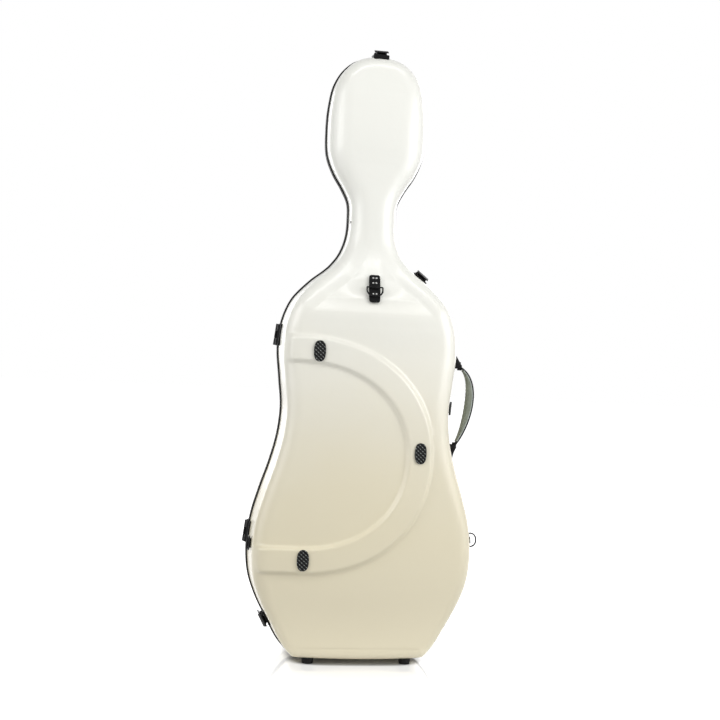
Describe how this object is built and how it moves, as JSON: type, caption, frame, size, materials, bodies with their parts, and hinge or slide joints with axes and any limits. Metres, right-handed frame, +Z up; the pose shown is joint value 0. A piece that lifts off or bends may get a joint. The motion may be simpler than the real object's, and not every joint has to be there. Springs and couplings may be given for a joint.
{
  "type": "cello hard case",
  "caption": "Upright moulded cello case with a raised crescent on its back, hinged lid, draw latches, bowed carrying handle, strap rings, rubber rests and a padded inside.",
  "frame": {"origin": "on the floor, centred under the case, at the bottom centre of its bounding box", "axes": "+Z up along the case, -Y out of the back shell with its crescent, +Y out of the lid, +X to the handle side, hinges at -X"},
  "size_m": [0.5078, 0.2583, 1.3204],
  "materials": {
    "ivory_shell": "pearl ivory, satin gloss",
    "black_trim": "black, satin",
    "black_hardware": "black coated, semi-gloss",
    "dark_steel": "blackened wire",
    "grey_stud": "dull nickel",
    "black_rubber": "matt, knurled",
    "grip_pad": "grey-green, matt",
    "plush_lining": "dark grey plush"
  },
  "bodies": {
    "back": {"back_shell": "ivory_shell", "back_lining": "plush_lining", "back_rim": "black_trim", "upper_back_rest": "black_rubber", "middle_back_rest": "black_rubber", "lower_back_rest": "black_rubber", "upper_hinge_back_leaf": "black_hardware", "lower_hinge_back_leaf": "black_hardware", "top_latch_plate": "black_hardware", "shoulder_latch_plate": "black_hardware", "waist_latch_plate": "black_hardware", "lower_right_latch_plate": "black_hardware", "lower_left_latch_plate": "black_hardware", "handle_upper_mount": "black_hardware", "handle_lower_mount": "black_hardware", "right_ring_anchor": "black_hardware", "left_ring_anchor": "black_hardware", "top_ring_anchor": "black_hardware", "back_left_foot": "black_rubber", "back_right_foot": "black_rubber", "neck_stud": "grey_stud", "neck_cradle": "plush_lining", "neck_strap": "plush_lining", "upper_cushion_left": "plush_lining", "upper_cushion_right": "plush_lining", "lower_cushion_left": "plush_lining", "lower_cushion_right": "plush_lining", "end_block": "plush_lining"},
    "lid": {"lid_shell": "ivory_shell", "lid_lining": "plush_lining", "lid_rim": "black_trim", "upper_hinge_lid_leaf": "black_hardware", "lower_hinge_lid_leaf": "black_hardware", "top_latch_keeper": "black_hardware", "shoulder_latch_keeper": "black_hardware", "waist_latch_keeper": "black_hardware", "lower_right_latch_keeper": "black_hardware", "lower_left_latch_keeper": "black_hardware", "lid_left_foot": "black_rubber", "lid_right_foot": "black_rubber", "lid_pad": "plush_lining", "bow_tip_pocket": "plush_lining", "bow_clip_base": "black_trim"},
    "top_lever": {"top_latch_lever": "black_hardware"},
    "top_bail": {"top_latch_bail": "dark_steel"},
    "shoulder_lever": {"shoulder_latch_lever": "black_hardware"},
    "shoulder_bail": {"shoulder_latch_bail": "dark_steel"},
    "waist_lever": {"waist_latch_lever": "black_hardware"},
    "waist_bail": {"waist_latch_bail": "dark_steel"},
    "lower_right_lever": {"lower_right_latch_lever": "black_hardware"},
    "lower_right_bail": {"lower_right_latch_bail": "dark_steel"},
    "lower_left_lever": {"lower_left_latch_lever": "black_hardware"},
    "lower_left_bail": {"lower_left_latch_bail": "dark_steel"},
    "handle": {"handle_band": "black_trim", "handle_grip": "grip_pad"},
    "right_ring": {"right_strap_ring": "dark_steel"},
    "left_ring": {"left_strap_ring": "dark_steel"},
    "top_ring": {"top_strap_ring": "dark_steel"},
    "left_clip": {"left_bow_clip": "black_trim"},
    "right_clip": {"right_bow_clip": "black_trim"}
  },
  "joints": [
    {"name": "lid_hinge", "type": "hinge", "parent": "back", "child": "lid", "pos_m": [-0.24513, 0, 0.26765], "axis": [0.1113, 0, 0.9938], "range_deg": [0, 180]},
    {"name": "top_lever_turn", "type": "hinge", "parent": "back", "child": "top_lever", "pos_m": [0, -0.014, 1.315], "axis": [-1, 0, 0], "range_deg": [-5, 65]},
    {"name": "top_bail_turn", "type": "hinge", "parent": "top_lever", "child": "top_bail", "pos_m": [0, -0.02409, 1.31438], "axis": [-1, 0, 0], "range_deg": [-124, 10]},
    {"name": "shoulder_lever_turn", "type": "hinge", "parent": "back", "child": "shoulder_lever", "pos_m": [0.11257, -0.014, 0.83632], "axis": [-0.7906, 0, 0.6123], "range_deg": [-5, 65]},
    {"name": "shoulder_bail_turn", "type": "hinge", "parent": "shoulder_lever", "child": "shoulder_bail", "pos_m": [0.11219, -0.02409, 0.83583], "axis": [-0.7906, 0, 0.6123], "range_deg": [-124, 10]},
    {"name": "waist_lever_turn", "type": "hinge", "parent": "back", "child": "waist_lever", "pos_m": [0.18742, -0.014, 0.55049], "axis": [0.0639, 0, 0.998], "range_deg": [-5, 65]},
    {"name": "waist_bail_turn", "type": "hinge", "parent": "waist_lever", "child": "waist_bail", "pos_m": [0.1868, -0.02409, 0.55053], "axis": [0.0639, 0, 0.998], "range_deg": [-124, 10]},
    {"name": "lower_right_lever_turn", "type": "hinge", "parent": "back", "child": "lower_right_lever", "pos_m": [0.20009, -0.014, 0.08216], "axis": [0.4796, 0, 0.8775], "range_deg": [-5, 65]},
    {"name": "lower_right_bail_turn", "type": "hinge", "parent": "lower_right_lever", "child": "lower_right_bail", "pos_m": [0.19955, -0.02409, 0.08246], "axis": [0.4796, 0, 0.8775], "range_deg": [-124, 10]},
    {"name": "lower_left_lever_turn", "type": "hinge", "parent": "back", "child": "lower_left_lever", "pos_m": [-0.20009, -0.014, 0.08216], "axis": [0.4796, 0, -0.8775], "range_deg": [-5, 65]},
    {"name": "lower_left_bail_turn", "type": "hinge", "parent": "lower_left_lever", "child": "lower_left_bail", "pos_m": [-0.19955, -0.02409, 0.08246], "axis": [0.4796, 0, -0.8775], "range_deg": [-124, 10]},
    {"name": "handle_swing", "type": "hinge", "parent": "back", "child": "handle", "pos_m": [0.19672, -0.058, 0.474], "axis": [0.0251, 0, 0.9997], "range_deg": [-55, 35]},
    {"name": "right_ring_swing", "type": "hinge", "parent": "back", "child": "right_ring", "pos_m": [0.23961, -0.058, 0.26612], "axis": [-0.0896, 0, 0.996], "range_deg": [-80, 80]},
    {"name": "left_ring_swing", "type": "hinge", "parent": "back", "child": "left_ring", "pos_m": [-0.24065, -0.058, 0.25005], "axis": [-0.0389, 0, -0.9992], "range_deg": [0, 150]},
    {"name": "top_ring_swing", "type": "hinge", "parent": "back", "child": "top_ring", "pos_m": [0, -0.09492, 0.80294], "axis": [-1, 0, 0], "range_deg": [0, 150]},
    {"name": "left_clip_turn", "type": "hinge", "parent": "lid", "child": "left_clip", "pos_m": [-0.0515, 0.10043, 0.481], "axis": [0, 1, 0], "range_deg": [0, 90]},
    {"name": "right_clip_turn", "type": "hinge", "parent": "lid", "child": "right_clip", "pos_m": [0.0515, 0.10043, 0.481], "axis": [0, 1, 0], "range_deg": [-90, 0]}
  ],
  "couplings": [
    {"joint": "top_bail_turn", "follows": "top_lever_turn", "ratio": -1.9},
    {"joint": "shoulder_bail_turn", "follows": "shoulder_lever_turn", "ratio": -1.9},
    {"joint": "waist_bail_turn", "follows": "waist_lever_turn", "ratio": -1.9},
    {"joint": "lower_right_bail_turn", "follows": "lower_right_lever_turn", "ratio": -1.9},
    {"joint": "lower_left_bail_turn", "follows": "lower_left_lever_turn", "ratio": -1.9}
  ]
}
